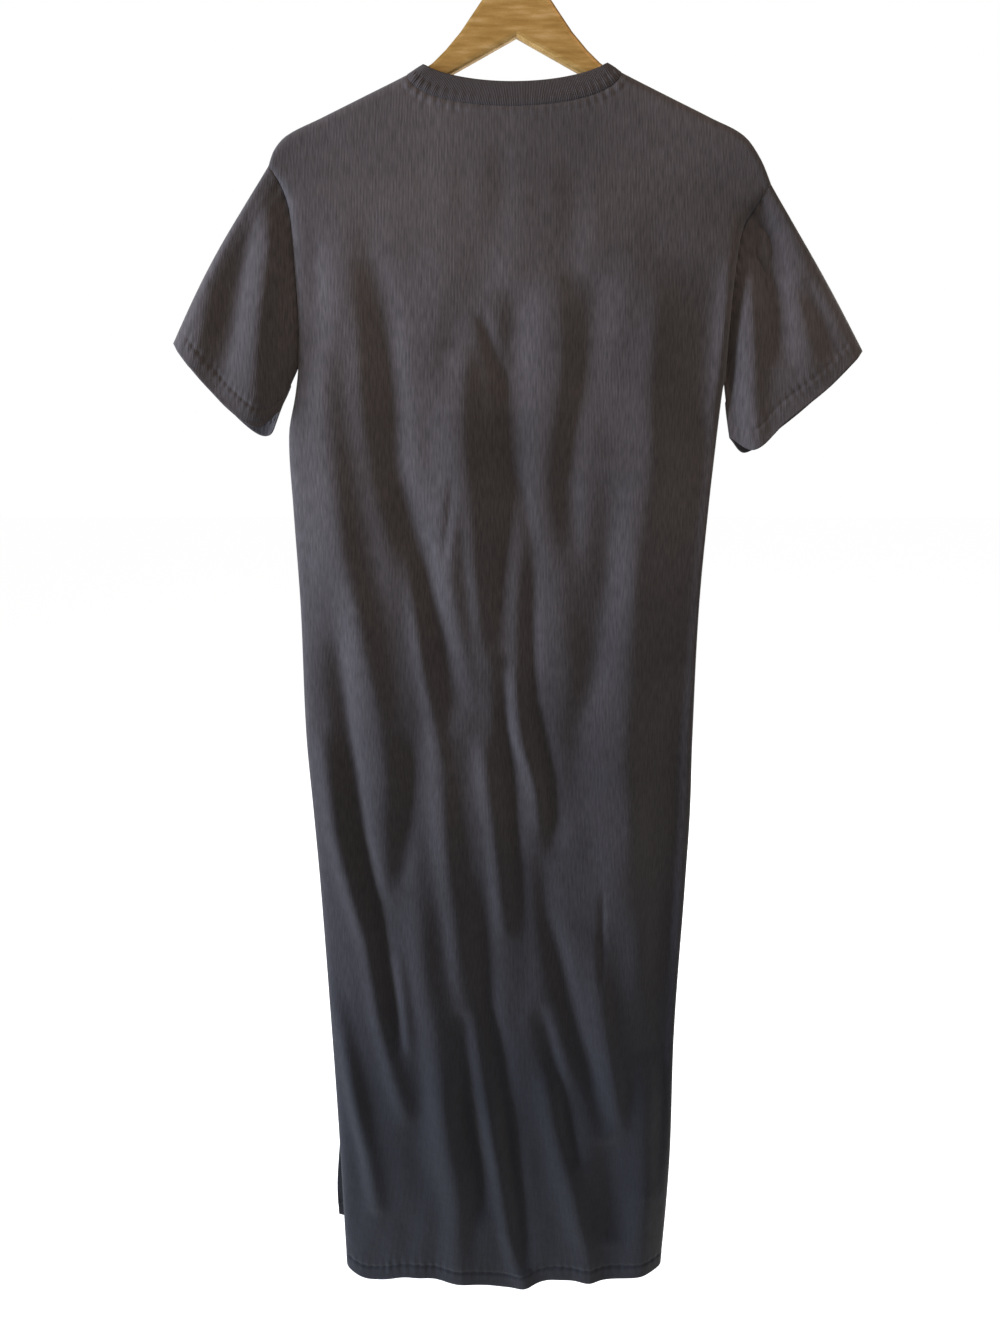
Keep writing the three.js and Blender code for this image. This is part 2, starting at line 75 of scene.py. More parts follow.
# z, left x, right x, back depth, front depth of the body
BODY = [(-160, -99, 95, 9, 9), (-240, -215, 215, 11, 10), (-300, -210, 212, 14, 12),
        (-415, -210, 204, 17, 16), (-445, -214, 201, 18, 17), (-483, -222, 198, 19, 18),
        (-556, -221, 193, 21, 20), (-657, -218, 188, 23, 22), (-790, -218, 187, 25, 24),
        (-874, -214, 188, 26, 25), (-960, -210, 186, 27, 26), (-1143, -204, 181, 28, 27),
        (-1300, -200, 182, 28, 27), (-1450, -197, 176, 27, 26)]
BACK_HEM = [(-197, -1446), (-168, -1455), (-120, -1449), (-60, -1455), (5, -1462), (45, -1452),
            (100, -1453), (176, -1444)]  # x, z
# share round the cuff from the top fold to the underarm, then x, z, y of its near and its far layer
CUFF = {
    "left": [(0, -328, -398, 0, -328, -398, 0), (0.06, -321, -408, -8, -321, -410, 8),
             (0.3, -299, -436, -12, -297, -442, 12), (0.6, -268, -466, -14, -263, -477, 12),
             (0.82, -249, -476, -10, -244, -483, 11), (1, -231, -461, 0, -231, -461, 0)],
    "right": [(0, 333, -405, 0, 333, -405, 0), (0.06, 325, -414, -8, 325, -416, 8),
              (0.3, 298, -441, -12, 296, -448, 12), (0.6, 262, -470, -14, 262, -477, 12),
              (0.84, 232, -497, -11, 230, -500, 11), (1, 211, -486, 0, 211, -486, 0)],
}
SLEEVE_BOW = {"left": -6.0, "right": 3.0}
SLEEVE_SWELL = 5.0
SLEEVE_SWING = 11.0  # how far the cuffs stand out towards the back
FOLD_DEPTH = 1.35  # all folds are this much deeper than their table says
TOPSTITCH = (2.0, 8.0)  # two needle lines below the neckband's seam
HEM_LINES = (17.5, 21.0)  # two needle lines above each hem's edge
STITCH_LIFT = 0.45  # the thread lies on the cloth's face
NECK_STITCH, HEM_STITCH = (3.0, 2.2), (3.4, 2.5)  # pitch and length of a stitch
RUNG = 1.6  # the looper's thread runs this far along between the neck's two lines
# a stitch's share of its length, lift and half width, the last two in thread radii
STITCH_SHAPE = ((0, -0.1, 0.5), (0.25, 1, 1), (0.75, 1, 1), (1, -0.1, 0.5))
FOLDS_START = (60, 190)  # folds grow over this stretch below the shoulder
SEWN_START = 6.0
FAR_FOLDS = 0.7  # share of its height that a sleeve's fold keeps on the far layer
# height and width of what a seam leaves in the cloth: a groove's height is negative
NECK_GROOVE, NECK_ROLL, TOPSTITCH_GROOVE = (-0.9, 1.3), (0.5, 2.2), (-0.35, 1.4)
ARMHOLE_GROOVE, HEM_GROOVE = (-1.6, 2.6), (-0.7, 2.2)
HEM_LAYER = 0.4  # the turned hem stands this much higher
# height of the gathers beside a seam, how far from it they lie, their reach and their pitch
NECK_GATHERS, ARMHOLE_GATHERS = (0.5, 5, 4.5, 8), (0.35, 4, 5, 12)
HEM_GATHERS = {"body": (0.45, HEM_LINES[0], 9, 9), "sleeve": (0.45, HEM_LINES[0], 8, 9)}

# Folds: height (a trough's is negative), width to its left and right, then the line it follows as x, z.
BACK_FOLDS = [
    (7, 20, 16, (-190, -400), (-178, -527), (-173, -600), (-158, -667), (-142, -750), (-134, -838),
     (-142, -970)),
    (-9, 17, 17, (-132, -320), (-122, -450), (-118, -520), (-105, -570), (-93, -610), (-83, -660),
     (-70, -720), (-60, -775)),
    (5, 10, 8, (-107, -590), (-92, -708), (-76, -815)),
    (6, 13, 12, (-80, -780), (-71, -905), (-62, -1023), (-54, -1110)),
    (6, 18, 12, (-66, -420), (-62, -560), (-66, -626), (-50, -738)),
    (-2.5, 4, 4, (-60, -525), (-72, -610)),
    (6, 12, 12, (-50, -400), (-48, -500), (-41, -600), (-31, -677), (-24, -720)),
    (-3.5, 5, 8, (-34, -370), (-11, -448)),
    (-8, 13, 15, (0, -345), (-8, -430), (-8, -550), (-15, -600), (-24, -705)),
    (-3, 6, 6, (2, -515), (17, -590)),
    (-6.5, 9, 10, (17, -580), (15, -670), (17, -750), (34, -820), (41, -915)),
    (-6.5, 9, 10, (-11, -700), (-9, -783), (-4, -860), (3, -950), (12, -1015)),
    (5, 8, 7, (-2, -713), (4, -783), (9, -800), (22, -840), (30, -895)),
    (5, 26, 14, (36, -330), (44, -430), (36, -530)),
    (-5, 13, 13, (74, -335), (58, -440), (50, -500), (49, -527), (57, -600)),
    (-6, 20, 20, (100, -520), (92, -626), (80, -718), (60, -800)),
    (7, 32, 20, (124, -310), (128, -500), (118, -620), (112, -730)),
    (6, 30, 20, (112, -700), (116, -850), (120, -1000)),
    (4, 30, 16, (-160, -270), (-152, -400), (-150, -500)),
    (-3, 9, 9, (-190, -260), (-188, -360)),
    (6.5, 11, 10, (-202, -780), (-191, -890), (-177, -947), (-158, -1017), (-149, -1096), (-137, -1172),
     (-118, -1245)),
    (-8, 13, 10, (-180, -680), (-172, -800), (-163, -900), (-148, -990), (-140, -1060), (-124, -1155)),
    (-5, 12, 12, (-106, -780), (-112, -870), (-122, -955)),
    (7.5, 18, 16, (-112, -890), (-98, -1023), (-85, -1121), (-79, -1210), (-68, -1310), (-60, -1490)),
    (4, 8, 8, (-125, -1030), (-117, -1157)),
    (5.5, 10, 9, (-35, -785), (-23, -878), (-15, -965), (-11, -1015)),
    (-8, 11, 11, (-36, -935), (-32, -1023), (-29, -1096), (-16, -1160), (-5, -1250), (7, -1344),
     (13, -1440)),
    (-6.5, 10, 9, (-57, -1100), (-53, -1210), (-40, -1300), (-33, -1370)),
    (6, 11, 10, (-44, -1095), (-33, -1198), (-16, -1297), (-5, -1385), (22, -1490)),
    (-7, 11, 13, (30, -915), (34, -988), (51, -1060), (68, -1130), (86, -1185), (104, -1260)),
    (-6, 10, 9, (27, -1095), (52, -1198), (72, -1300)),
    (5.5, 15, 11, (36, -1170), (62, -1310), (84, -1400), (92, -1500)),
    (5, 14, 10, (84, -1010), (104, -1147), (124, -1260)),
    (-5, 15, 14, (110, -1265), (116, -1400)),
    (6, 18, 16, (150, -1160), (152, -1310), (148, -1490)),
    (5.5, 10, 10, (-198, -1085), (-181, -1198), (-168, -1277), (-156, -1365)),
    (-2, 4, 4, (95, -955), (95, -1080)),
    (-9, 26, 9, (190, -320), (185, -430), (182, -560), (176, -700), (171, -800), (170, -1000),
     (168, -1280), (164, -1335)),
    (5, 9, 7, (214, -235), (206, -300), (199, -400), (189, -475)),
]
FRONT_FOLDS = [
    (6, 22, 16, (-150, -300), (-160, -700), (-130, -1440)),
    (-7, 16, 18, (-112, -330), (-118, -620), (-96, -900)),
    (6, 16, 14, (-80, -360), (-70, -800), (-84, -1440)),
    (-7, 14, 14, (-40, -380), (-30, -700), (-44, -1000)),
    (6, 16, 16, (-10, -420), (8, -850), (-20, -1440)),
    (-6, 12, 14, (34, -330), (30, -620), (44, -1100)),
    (6, 16, 18, (70, -340), (62, -800), (44, -1440)),
    (-6, 18, 16, (106, -300), (98, -760), (88, -1300)),
    (6, 20, 18, (140, -300), (132, -760), (110, -1440)),
    (-7, 18, 9, (172, -400), (166, -800), (160, -1300)),
    (-6, 10, 12, (-188, -500), (-182, -900), (-170, -1280)),
    (4, 10, 10, (-30, -980), (-50, -1200), (-46, -1440)),
    (-5, 10, 10, (10, -1020), (24, -1240), (16, -1440)),
]
SLEEVE_FOLDS = {
    "left": [(7, 16, 9, (-225, -245), (-230, -300), (-244, -400), (-251, -470)),
             (-6, 22, 14, (-255, -280), (-276, -390), (-290, -450)),
             (3, 14, 12, (-290, -345), (-306, -420))],
    "right": [(-7, 14, 13, (214, -255), (234, -300), (246, -360), (252, -420)),
              (7, 15, 11, (222, -320), (226, -440), (234, -505)),
              (-4, 10, 11, (272, -340), (302, -412)),
              (-5, 8, 9, (205, -400), (210, -480)),
              (4, 16, 14, (268, -300), (284, -440))],
}


def curve(points, by, column, level):
    """One column of a table at a level of another, smooth through the table's rows."""
    rows = np.array(sorted(points, key=lambda row: row[by]), dtype=float)
    xs, ys = rows[:, by], rows[:, column]
    first, last = (ys[1] - ys[0]) / (xs[1] - xs[0]), (ys[-1] - ys[-2]) / (xs[-1] - xs[-2])
    slopes = np.concatenate([[first], (ys[2:] - ys[:-2]) / (xs[2:] - xs[:-2]), [last]])
    x = np.clip(level, xs[0], xs[-1])
    k = np.clip(np.searchsorted(xs, x) - 1, 0, len(xs) - 2)
    span = xs[k + 1] - xs[k]
    f = (x - xs[k]) / span
    rise = f * f * (3 - 2 * f)
    lean = span * f * (1 - f) * ((1 - f) * slopes[k] - f * slopes[k + 1])
    return ys[k] + (ys[k + 1] - ys[k]) * rise + lean


def mix(a, b, share):
    return a + (b - a) * share


def smoothstep(value, low, high):
    t = np.clip((value - low) / (high - low), 0, 1)
    return t * t * (3 - 2 * t)


def ridge_z(x):
    return np.where(np.asarray(x) < 0, curve(SHOULDER["left"], 0, 1, x), curve(SHOULDER["right"], 0, 1, x))


def edge_x(hand, z):
    """Where the cloth ends sideways at a height: the shoulder ridge, the armhole, then the side seam."""
    z = np.asarray(z, dtype=float)
    armhole = ARMHOLE[hand]
    side = curve(BODY, 0, 1 if hand == "left" else 2, z)
    side = np.where(z > armhole[-1][0], curve(armhole, 0, 1, z), side)
    return np.where(z > SHOULDER[hand][-1][1], curve(SHOULDER[hand], 1, 0, z), side)


def hem_z(side, x):
    return curve(BACK_HEM, 0, 1, x) + (FRONT_HEM_RISE if side == FRONT else 0)


def from_line(line, x, z):
    """Distance of each point from a line of x, z, which side it is on, how far along, and the length."""
    path = np.array(line, dtype=float)
    steps = np.diff(path, axis=0)
    lengths = np.hypot(steps[:, 0], steps[:, 1])
    before = np.concatenate([[0], np.cumsum(lengths)])
    nearest = np.full(x.shape, 1e9)
    sideways, along = np.zeros_like(x), np.zeros_like(x)
    for start, step, length, run in zip(path[:-1], steps, lengths, before):
        dx, dz = x - start[0], z - start[1]
        t = np.clip((dx * step[0] + dz * step[1]) / length**2, 0, 1)
        away = np.hypot(dx - t * step[0], dz - t * step[1])
        closer = away < nearest
        nearest = np.where(closer, away, nearest)
        sideways = np.where(closer, dz * step[0] - dx * step[1], sideways)
        along = np.where(closer, run + t * length, along)
    return nearest, sideways, along, before[-1]


def folds(table, x, z):
    """Sum of the folds at each point: how far the point is from each fold's line gives its height there."""
    total = np.zeros_like(x)
    for high, left, right, *line in table:
        nearest, sideways, along, length = from_line(line, x, z)
        width = np.where(sideways < 0, left, right)
        fade = np.sin(math.pi * np.clip(along / length, 0, 1)) ** 0.5
        total += FOLD_DEPTH * high * fade * np.exp(-((nearest / width) ** 2))
    return total


def ridge(away, middle, high, wide):
    """A rounded ridge, or a groove where high is negative, at a distance from a seam."""
    return high * np.exp(-(((away - middle) / wide) ** 2))


def pucker(away, along, high, middle, reach, pitch):
    """Small uneven gathers that a line of stitching draws into the cloth beside it."""
    uneven = np.sin(2 * math.pi * along / pitch + 1.7 * np.sin(along / 31) + np.sin(along / 13))
    return uneven * ridge(away, middle, high, reach)


def hem_relief(above, along, gathers):
    """What a hem's needle lines do to the cloth, which is two layers thick below them."""
    doubled = HEM_LAYER * smoothstep(HEM_LINES[0] - above, 0, 3)
    return ridge(above, HEM_LINES[0], *HEM_GROOVE) + pucker(above, along, *gathers) + doubled


def ripple(x, z, seed):
    """Small uneven waves that hang down the cloth, under a millimetre high."""
    dice = np.random.default_rng(seed)
    total = np.zeros_like(x)
    for _ in range(14):
        across, down = dice.uniform(25, 90), dice.uniform(220, 700)
        turn, swing = dice.uniform(0, 2 * math.pi, 2)
        total += np.sin(2 * math.pi * (x / across + 0.4 * np.sin(2 * math.pi * z / down + swing)) + turn)
    return 0.22 * total


def depth(side, x, z):
    """Distance of the cloth's outer face from y = 0, over the back or the front."""
    below = np.maximum(ridge_z(x) - z, 0)
    left, right = edge_x("left", z), edge_x("right", z)
    across = np.clip((2 * x - left - right) / (right - left), -1, 1)
    over_arm = RIDGE * np.sqrt(1 - (1 - np.minimum(below / RIDGE, 1)) ** 2)
    profile = np.maximum(1 - np.abs(across) ** CREASE_POWER - 1e-6, 0) ** (1 / CREASE_POWER)
    settled = smoothstep(below, RIDGE, mix(SETTLE, SETTLE_AT_SIDE, across**6))
    full = curve(BODY, 0, 3 if side == BACK else 4, z) * profile
    share = (across + 1) / 2
    arm_top = mix(ARMHOLE["left"][0][0], ARMHOLE["right"][0][0], share)
    arm_foot = mix(ARMHOLE["left"][-1][0], ARMHOLE["right"][-1][0], share)
    down = np.clip((arm_top - z) / (arm_top - arm_foot), 0, 1)
    slit = SLIT_SPREAD[side] * smoothstep(SLIT_TOP - z, 0, SLIT_TOP - SLIT_BOTTOM)
    shape = folds(BACK_FOLDS if side == BACK else FRONT_FOLDS, x, z) + ripple(x, z, 11 + side)
    loose = smoothstep(below, *FOLDS_START) * np.minimum(profile * 1.25, 1)
    sewn = seam_relief(side, x, z) * smoothstep(below, 0, SEWN_START)
    opened = ARMHOLE_OPEN * np.sin(math.pi * down) + slit
    return over_arm + (full - RIDGE) * settled + opened + shape * loose + sewn


def seam_relief(side, x, z):
    """How far sewing draws the cloth in or lifts it, beside the neck seam, the armholes and the hem."""
    away, _, along, _ = from_line(list(zip(*neck_point(side, np.linspace(0, 1, 41), NECK_SEAM))), x, z)
    relief = ridge(away, 0, *NECK_GROOVE) + pucker(away, along, *NECK_GATHERS)
    relief += ridge(away, sum(TOPSTITCH) / 2, *NECK_ROLL) + ridge(away, TOPSTITCH[1], *TOPSTITCH_GROOVE)
    for hand in ("left", "right"):
        away, _, along, _ = from_line([(row[1], row[0]) for row in ARMHOLE[hand]], x, z)
        relief += ridge(away, 0, *ARMHOLE_GROOVE) + pucker(away, along, *ARMHOLE_GATHERS)
    return relief + hem_relief(z - hem_z(side, x), x, HEM_GATHERS["body"])


def neck_point(side, turn, ring):
    """x, z at a share of the way round half the neck, on its seam or on the band's edge."""
    sine = np.sin(math.pi * turn)
    share = (1 - np.cos(math.pi * turn)) / 2
    sag = ring["back_sag"] * sine ** ring["back_bend"] if side == BACK else ring["front_sag"] * sine
    x = mix(ring["left"], ring["right"], share)
    return x, mix(float(ridge_z(ring["left"])), float(ridge_z(ring["right"])), share) - sag


# ---------------------------------------------------------------- grids of points on the outer face
NECK_COLUMNS = 150
SHOULDER_COLUMNS = 25
ARM_ROWS = 9  # round the bend over a hanger arm
UPPER_ROWS = 76
SEAM_ROWS = 108
SLIT_ROWS = 24
HEM_ROWS = 18  # over the turned hem and its stitching
HEM_ZONE = 30.0
SLEEVE_ROWS = 84
BAND_ROWS = 12
NECK_SHARE = 0.12
COLUMN_BEND = 0.6


def neck_turns():
    even = np.linspace(0, 1, NECK_COLUMNS + 1)
    return even, even - 0.5 * np.sin(2 * math.pi * even) / (2 * math.pi)


def columns(side):
    """x, z of each column's top end and the share of the chest that it hangs down to."""
    steps = np.arange(SHOULDER_COLUMNS) / SHOULDER_COLUMNS
    even, turns = neck_turns()
    neck_x, neck_z = neck_point(side, turns, NECK_SEAM)
    tops = {}
    for hand in ("left", "right"):
        tip_x, tip_z = SHOULDER[hand][-1]
        x = mix(tip_x, NECK_SEAM[hand], steps**1.8)
        tops[hand] = x, np.where(steps == 0, tip_z, ridge_z(x))
    chest = NECK_SHARE * steps**1.6
    across = (1 - np.cos(math.pi * turns)) / 2
    middle = mix(NECK_SHARE, 1 - NECK_SHARE, (across + even) / 2)
    x = np.concatenate([tops["left"][0], neck_x, tops["right"][0][::-1]])
    z = np.concatenate([tops["left"][1], neck_z, tops["right"][1][::-1]])
    return x, z, np.concatenate([chest, middle, (1 - chest)[::-1]])


def panel_grid(side):
    top_x, top_z, u = columns(side)
    (first_z, first_x), (under_z, under_x) = ARMHOLE["left"][0], ARMHOLE["left"][-1]
    (second_z, second_x), (across_z, across_x) = ARMHOLE["right"][0], ARMHOLE["right"][-1]
    xs, zs = [], []
    bend = RIDGE * (1 - np.cos(np.linspace(0, math.pi / 2, ARM_ROWS)))
    # from the shoulder and the neck down to the underarm
    for j in range(ARM_ROWS + UPPER_ROWS):
        arc = bend[min(j, ARM_ROWS - 1)] / (top_z - under_z)
        down = mix(arc, 1, max((j - ARM_ROWS + 1) / UPPER_ROWS, 0) ** 1.2)
        fan = down**COLUMN_BEND
        seam_left = curve(ARMHOLE["left"], 0, 1, mix(first_z, under_z, down))
        seam_right = curve(ARMHOLE["right"], 0, 1, mix(second_z, across_z, down))
        bow_left = seam_left - mix(first_x, under_x, fan)
        bow_right = seam_right - mix(second_x, across_x, fan)
        x = mix(top_x, mix(under_x, across_x, u), fan) + (1 - u) ** 9 * bow_left + u**9 * bow_right
        sideways = np.minimum(ridge_z(x) - ridge_z(top_x), 0) * (1 - down) ** 3
        xs.append(x)
        zs.append(mix(top_z, mix(under_z, across_z, u), down) + sideways)
    # from the underarm down the side seams and the slits to the hem
    underarm = mix(under_z, across_z, u)
    hem = hem_z(side, mix(edge_x("left", SLIT_BOTTOM), edge_x("right", SLIT_BOTTOM), u))
    levels = [mix(underarm, SLIT_TOP, (j + 1) / SEAM_ROWS) for j in range(SEAM_ROWS)]
    levels += [mix(SLIT_TOP, hem + HEM_ZONE, (j + 1) / SLIT_ROWS) for j in range(SLIT_ROWS)]
    levels += [hem + HEM_ZONE * (1 - (j + 1) / HEM_ROWS) for j in range(HEM_ROWS)]
    for z in levels:
        spread = smoothstep(SLIT_TOP - z, 0, 120) if side == FRONT else 0
        left = edge_x("left", z) - spread * FRONT_OUT["left"]
        right = edge_x("right", z) - spread * FRONT_OUT["right"]
        xs.append(mix(left, right, u))
        zs.append(z)
    x, z = np.array(xs), np.array(zs)
    return np.stack([x, side * depth(side, x, z), z], axis=-1)


def sleeve_grid(hand, back, front):
    """Rings round a sleeve, from the panels' armhole points to the cuff."""
    column = 0 if hand == "left" else -1
    count = ARM_ROWS + UPPER_ROWS
    near, far = back[:count, column], front[:count, column]
    length = np.linalg.norm(near[-1] - near[0])

    def half(seam, layer):
        share = np.linalg.norm(seam - near[0], axis=1) / length
        cuff = np.stack([curve(CUFF[hand], 0, layer, share), curve(CUFF[hand], 0, layer + 2, share),
                         curve(CUFF[hand], 0, layer + 1, share)], axis=-1)
        return seam, cuff, share, np.full(len(seam), BACK if layer == 1 else FRONT)

    halves = zip(half(near, 1), half(far[1:-1][::-1], 4))
    seam, cuff, share, side = (np.concatenate(pair) for pair in halves)
    reach = np.linalg.norm(cuff - seam, axis=1)
    girth = share * length
    round_ring = np.sin(math.pi * np.clip(share, 0, 1))
    rows = []
    for out in np.linspace(0, 1, SLEEVE_ROWS + 1):
        p = mix(seam, cuff, out)
        swell = SLEEVE_SWELL * math.sin(math.pi * out) * round_ring**0.7
        p[:, 0] += SLEEVE_BOW[hand] * math.sin(math.pi * out) * (1 - share) ** 2
        creases = folds(SLEEVE_FOLDS[hand], p[:, 0], p[:, 2]) * np.where(side == BACK, 1, FAR_FOLDS)
        creases = creases * smoothstep(out, 0, 0.2) * smoothstep(round_ring, 0, 0.5)
        hemmed = hem_relief(reach * (1 - out), girth, HEM_GATHERS["sleeve"])
        seamed = pucker(reach * out, girth, *ARMHOLE_GATHERS)
        p[:, 1] += side * (swell + creases + (hemmed + seamed) * smoothstep(round_ring, 0, 0.3))
        p[:, 1] -= SLEEVE_SWING * out**1.5
        rows.append(p)
    return np.array(rows)


def band_grid():
    """Rings of the folded neckband, from its seam to its edge, slightly plump between them."""
    turns = neck_turns()[1]
    rows = []
    for j in range(BAND_ROWS + 1):
        share = j / BAND_ROWS
        line = []
        for side, part in ((BACK, turns), (FRONT, turns[1:-1][::-1])):
            seam, edge = neck_point(side, part, NECK_SEAM), neck_point(side, part, NECK_EDGE)
            x, z = mix(seam[0], edge[0], share), mix(seam[1], edge[1], share)
            plump = 0.7 * math.sin(math.pi * share)
            line.append(np.stack([x, side * (depth(side, x, z) + plump), z], axis=-1))
        rows.append(np.concatenate(line))
    return np.array(rows)


# ---------------------------------------------------------------- meshes
def normals(grid, ring):
    along = np.roll(grid, -1, 1) - np.roll(grid, 1, 1) if ring else np.gradient(grid, axis=1)
    cross = np.cross(along, np.gradient(grid, axis=0))
    return cross / np.maximum(np.linalg.norm(cross, axis=-1, keepdims=True), 1e-9)


def faces_out(grid, ring, outward):
    """True if the grid's own normals already point out of the dress, at the middle of its near layer."""
    return normals(grid, ring)[len(grid) // 2, grid.shape[1] // (4 if ring else 2)][1] * outward > 0


def make_mesh(name, vertices, faces):
    mesh = bpy.data.meshes.new(name)
    mesh.from_pydata((vertices * MM).tolist(), [], faces)
    mesh.update()
    for face in mesh.polygons:
        face.use_smooth = True
    piece = bpy.data.objects.new(name, mesh)
    bpy.context.scene.collection.objects.link(piece)
    return piece


def shell(name, grid, ring, outward, thick, material, node, slot):
    """A thin cloth shell on a grid of outer points, with the cloth's grain as a UV map in metres.

    The jersey's grain hangs straight down, and the rib's runs round the neck.
    """
    high, wide = grid.shape[:2]
    last = wide if ring else wide - 1
    flip = faces_out(grid, ring, outward)  # a face that isn't flipped points against the grid's normals
    faces = []
    for j in range(high - 1):
        for i in range(last):
            a, b = j * wide + i, j * wide + (i + 1) % wide
            face = (a, b, b + wide, a + wide)
            faces.append(face[::-1] if flip else face)
    piece = make_mesh(name, grid.reshape(-1, 3), faces)
    round_neck = np.linalg.norm(np.diff(grid[:1], axis=1, append=grid[:1, :1]), axis=-1).cumsum(axis=1)
    across = np.broadcast_to(round_neck, grid.shape[:2]) if slot == "rib" else grid[..., 0]
    grain = np.stack([across, grid[..., 2]], axis=-1).reshape(-1, 2) * MM
    layer = piece.data.uv_layers.new(name="grain")
    corners = np.zeros(len(piece.data.loops), dtype=np.int32)
    piece.data.loops.foreach_get("vertex_index", corners)
    layer.data.foreach_set("uv", grain[corners].ravel())
    piece.data.materials.append(material)
    solid = piece.modifiers.new("thickness", "SOLIDIFY")
    solid.thickness = thick * MM
    solid.offset = -1
    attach(piece, "root")
    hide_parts(node)
    return piece


def dashes(points, ups, pitch, length):
    """Stitches of one needle line: start, end and outward direction of each."""
    steps = np.linalg.norm(np.diff(points, axis=0), axis=1)
    run = np.concatenate([[0], np.cumsum(steps)])
    starts = np.arange(pitch, run[-1] - pitch, pitch)

    def on_line(values, at):
        return np.stack([np.interp(at, run, values[:, c]) for c in range(3)], axis=-1)

    return list(zip(on_line(points, starts), on_line(points, starts + length), on_line(ups, starts)))


def stitches(name, loops, thick, material):
    """Short rounded thread loops, one for each start, end and outward direction, as one mesh."""
    vertices, faces = [], []
    for start, end, up in loops:
        up = up / np.linalg.norm(up)
        along = end - start
        side = np.cross(along, up)
        side *= thick / np.linalg.norm(side)
        base = len(vertices)
        for share, lift, width in STITCH_SHAPE:
            middle = start + along * share + up * thick * lift
            vertices += [middle - side * width - up * thick, middle, middle + side * width - up * thick]
        for k in range(3):
            a = base + 3 * k
            faces += [(a, a + 3, a + 4, a + 1), (a + 1, a + 4, a + 5, a + 2), (a + 2, a + 5, a + 3, a)]
        faces += [(base, base + 1, base + 2), (base + 11, base + 10, base + 9)]
    piece = make_mesh(name, np.array(vertices), faces)
    piece.data.materials.append(material)
    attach(piece, "root")
    return piece


# ---------------------------------------------------------------- materials, in metres
WALE, COURSE = 0.0014, 0.0018
SLUB_WIDE, SLUB_LONG = 0.0016, 0.014
RIB_CORD = 0.0016
ONE_BAND = 0.314  # the wave texture's scale for one band a unit
PAINTED_SHADE_FROM, PAINTED_SHADE_TO = -0.45, -1.2  # heights between which painted shade turns the cloth from faded black to a darker navy black


def linear(hex_colour):
    """sRGB hex to a linear colour with alpha."""
    parts = [int(hex_colour[i:i + 2], 16) / 255 for i in (1, 3, 5)]
    return [c / 12.92 if c <= 0.04045 else ((c + 0.055) / 1.055) ** 2.4 for c in parts] + [1.0]


def add_node(tree, kind, settings=None, stops=(), **inputs):
    """Adds a node with its settings, its colour stops and its inputs.

    An input is a value or another node's output, and is called by its name, or by n and its number.
    """
    node = tree.nodes.new(kind)
    for key, value in (settings or {}).items():
        setattr(node, key, value)
    for _ in stops[2:]:
        node.color_ramp.elements.new(0.5)
    for k, (position, colour) in enumerate(stops):
        node.color_ramp.elements[k].position = position
        node.color_ramp.elements[k].color = colour
    for key, value in inputs.items():
        numbered = key[0] == "n" and key[1:].isdigit()
        socket = node.inputs[int(key[1:]) if numbered else key.replace("_", " ")]
        if isinstance(value, bpy.types.NodeSocket):
            tree.links.new(value, socket)
        else:
            socket.default_value = value
    return node


def new_material(name):
    material = bpy.data.materials.new(name)
    material.use_nodes = True
    tree = material.node_tree
    shader = tree.nodes["Principled BSDF"]
    return material, tree, shader


